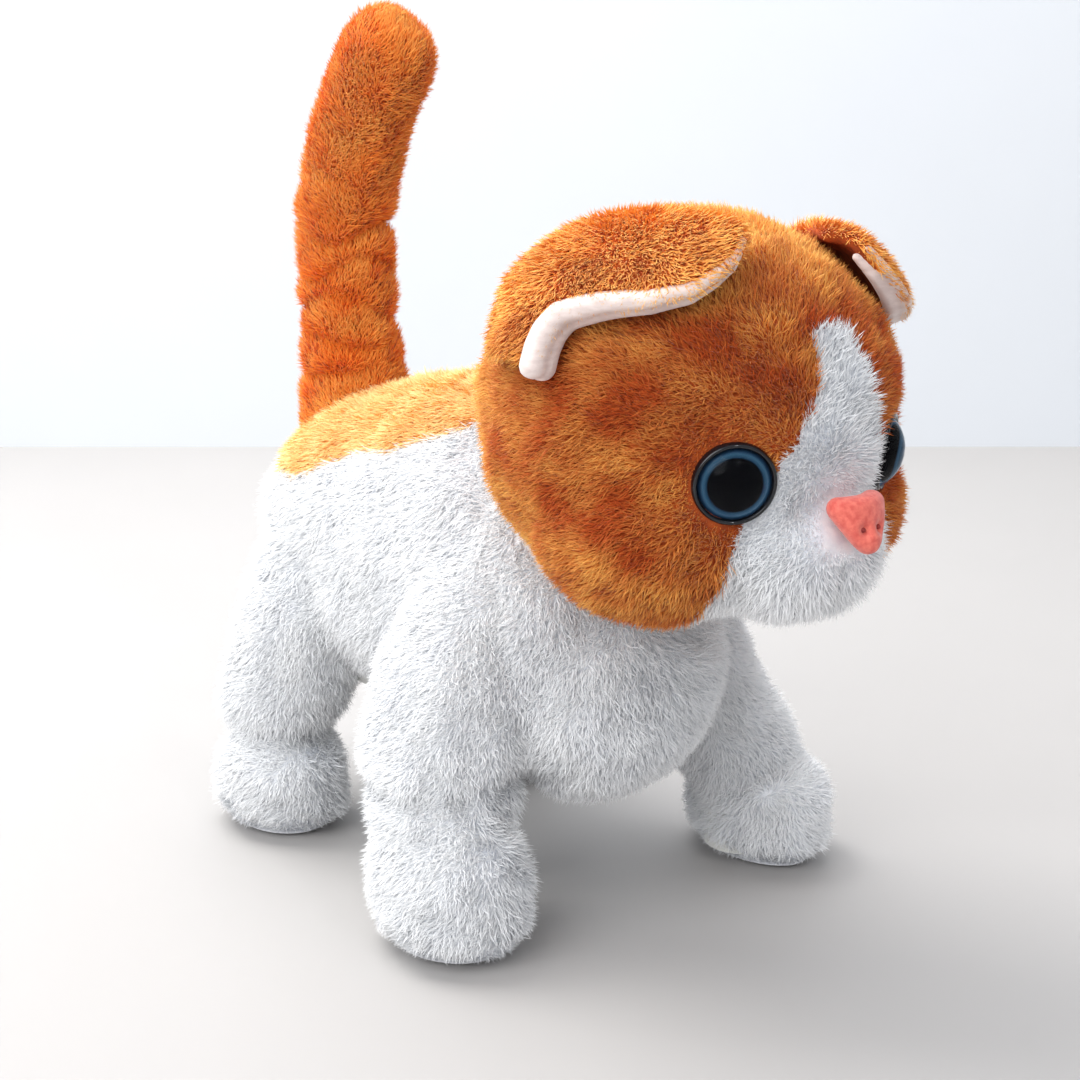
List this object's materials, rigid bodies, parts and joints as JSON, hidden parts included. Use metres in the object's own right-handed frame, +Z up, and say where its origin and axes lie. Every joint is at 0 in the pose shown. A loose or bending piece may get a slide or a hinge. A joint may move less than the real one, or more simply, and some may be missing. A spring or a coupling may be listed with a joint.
{
  "type": "interactive plush pet",
  "caption": "Standing plush kitten toy with swinging legs, nodding head and wagging tail driven by a hidden gearbox under a stuffed skin.",
  "frame": {"origin": "middle of the floor area under the kitten", "axes": "+Z up, -Y the way the kitten faces, +X its left side"},
  "size_m": [0.111, 0.1784, 0.1905],
  "materials": {
    "white_plush": "short white plush pile",
    "orange_plush": "short burnt-orange plush pile",
    "saddle_plush": "short light-orange plush pile",
    "ear_satin": "pale pinkish satin",
    "sole_fabric": "short-nap woven fabric",
    "nose_plastic": "flocked salmon plastic",
    "eye_plastic": "black cup with a blue ring",
    "eye_dome": "clear glossy dome",
    "case_plastic": "fine texture",
    "skull_plastic": "plain moulded",
    "frame_nylon": "natural nylon",
    "gear_nylon": "natural acetal",
    "black_plastic": "moulded",
    "steel_pins": "bright",
    "motor_steel": "drawn steel can",
    "battery_wrap": "printed sleeve with no marks",
    "board_green": "solder mask"
  },
  "bodies": {
    "chassis": {"chassis_left_shell": "case_plastic", "chassis_right_shell": "case_plastic", "chassis_screws": "steel_pins", "battery_left": "battery_wrap", "battery_right": "battery_wrap", "battery_contacts": "steel_pins", "switch_body": "black_plastic", "motor_can": "motor_steel", "idler_shaft": "steel_pins", "neck_bracket": "frame_nylon", "speaker": "motor_steel", "circuit_board": "board_green", "body_plush": "white_plush", "saddle_patch": "saddle_plush"},
    "battery_cover": {"battery_door": "case_plastic", "door_screw": "steel_pins"},
    "switch": {"switch_slider": "black_plastic"},
    "rotor": {"motor_shaft": "steel_pins", "motor_pinion": "gear_nylon"},
    "idler": {"idler_gear": "gear_nylon"},
    "crank": {"crank_shaft": "steel_pins", "crank_gear": "gear_nylon", "crank_disc_left": "gear_nylon", "crank_disc_right": "gear_nylon"},
    "left_link": {"link_bar_left": "frame_nylon"},
    "right_link": {"link_bar_right": "frame_nylon"},
    "head": {"head_front_shell": "skull_plastic", "head_back_shell": "skull_plastic", "head_screws": "steel_pins", "neck_pin": "steel_pins", "head_plush": "orange_plush", "face_plush": "white_plush", "eye_cup_left": "eye_plastic", "eye_cup_right": "eye_plastic", "eye_lens_left": "eye_dome", "eye_lens_right": "eye_dome", "face_washers": "black_plastic", "nose": "nose_plastic", "ear_left": "orange_plush", "ear_right": "orange_plush", "ear_lining_left": "ear_satin", "ear_lining_right": "ear_satin"},
    "tail": {"tail_arm": "frame_nylon", "tail_plush": "orange_plush"},
    "front_left_leg": {"leg_frame_front_left": "frame_nylon", "hip_lever_front_left": "frame_nylon", "leg_plush_front_left": "white_plush", "sole_pad_front_left": "sole_fabric"},
    "front_right_leg": {"leg_frame_front_right": "frame_nylon", "hip_lever_front_right": "frame_nylon", "leg_plush_front_right": "white_plush", "sole_pad_front_right": "sole_fabric"},
    "rear_left_leg": {"leg_frame_rear_left": "frame_nylon", "hip_lever_rear_left": "frame_nylon", "leg_plush_rear_left": "white_plush", "sole_pad_rear_left": "sole_fabric"},
    "rear_right_leg": {"leg_frame_rear_right": "frame_nylon", "hip_lever_rear_right": "frame_nylon", "leg_plush_rear_right": "white_plush", "sole_pad_rear_right": "sole_fabric"}
  },
  "joints": [
    {"name": "crank_spin", "type": "hinge", "parent": "chassis", "child": "crank", "pos_m": [0, 0.0245, 0.06499], "axis": [1, 0, 0], "continuous": true},
    {"name": "idler_spin", "type": "hinge", "parent": "chassis", "child": "idler", "pos_m": [0, 0.03538, 0.07006], "axis": [1, 0, 0], "continuous": true},
    {"name": "rotor_spin", "type": "hinge", "parent": "chassis", "child": "rotor", "pos_m": [0, 0.0447, 0.07761], "axis": [1, 0, 0], "continuous": true},
    {"name": "front_left_step", "type": "hinge", "parent": "chassis", "child": "front_left_leg", "pos_m": [0, -0.01, 0.056], "axis": [1, 0, 0], "range_deg": [-9.78, 9.78]},
    {"name": "front_right_step", "type": "hinge", "parent": "chassis", "child": "front_right_leg", "pos_m": [0, -0.01, 0.056], "axis": [1, 0, 0], "range_deg": [-9.78, 9.78]},
    {"name": "rear_left_step", "type": "hinge", "parent": "chassis", "child": "rear_left_leg", "pos_m": [0, 0.058, 0.054], "axis": [1, 0, 0], "range_deg": [-9.78, 9.78]},
    {"name": "rear_right_step", "type": "hinge", "parent": "chassis", "child": "rear_right_leg", "pos_m": [0, 0.058, 0.054], "axis": [1, 0, 0], "range_deg": [-9.78, 9.78]},
    {"name": "left_link_pivot", "type": "hinge", "parent": "front_left_leg", "child": "left_link", "pos_m": [0, -0.01, 0.066], "axis": [1, 0, 0], "range_deg": [-9.78, 9.78]},
    {"name": "right_link_pivot", "type": "hinge", "parent": "front_right_leg", "child": "right_link", "pos_m": [0, -0.01, 0.066], "axis": [1, 0, 0], "range_deg": [-9.78, 9.78]},
    {"name": "head_nod", "type": "hinge", "parent": "chassis", "child": "head", "pos_m": [0, -0.0393, 0.111], "axis": [1, 0, 0], "range_deg": [-5.87, 5.87]},
    {"name": "tail_wag", "type": "hinge", "parent": "chassis", "child": "tail", "pos_m": [0, 0.0755, 0.091], "axis": [0, 1, 0], "range_deg": [-14.67, 14.67]},
    {"name": "switch_slide", "type": "slide", "parent": "chassis", "child": "switch", "axis": [0, 1, 0], "range_m": [0, 0.003]},
    {"name": "battery_door_lift", "type": "slide", "parent": "chassis", "child": "battery_cover", "axis": [0, 0, -1], "range_m": [0, 0.02]}
  ],
  "couplings": [
    {"joint": "idler_spin", "follows": "crank_spin", "ratio": -3},
    {"joint": "rotor_spin", "follows": "crank_spin", "ratio": 9},
    {"joint": "rear_left_step", "follows": "front_left_step", "ratio": 1},
    {"joint": "front_right_step", "follows": "front_left_step", "ratio": -1},
    {"joint": "rear_right_step", "follows": "front_left_step", "ratio": -1},
    {"joint": "left_link_pivot", "follows": "front_left_step", "ratio": -1},
    {"joint": "right_link_pivot", "follows": "front_left_step", "ratio": 1},
    {"joint": "head_nod", "follows": "front_left_step", "ratio": 0.6},
    {"joint": "tail_wag", "follows": "front_left_step", "ratio": 1.5}
  ]
}
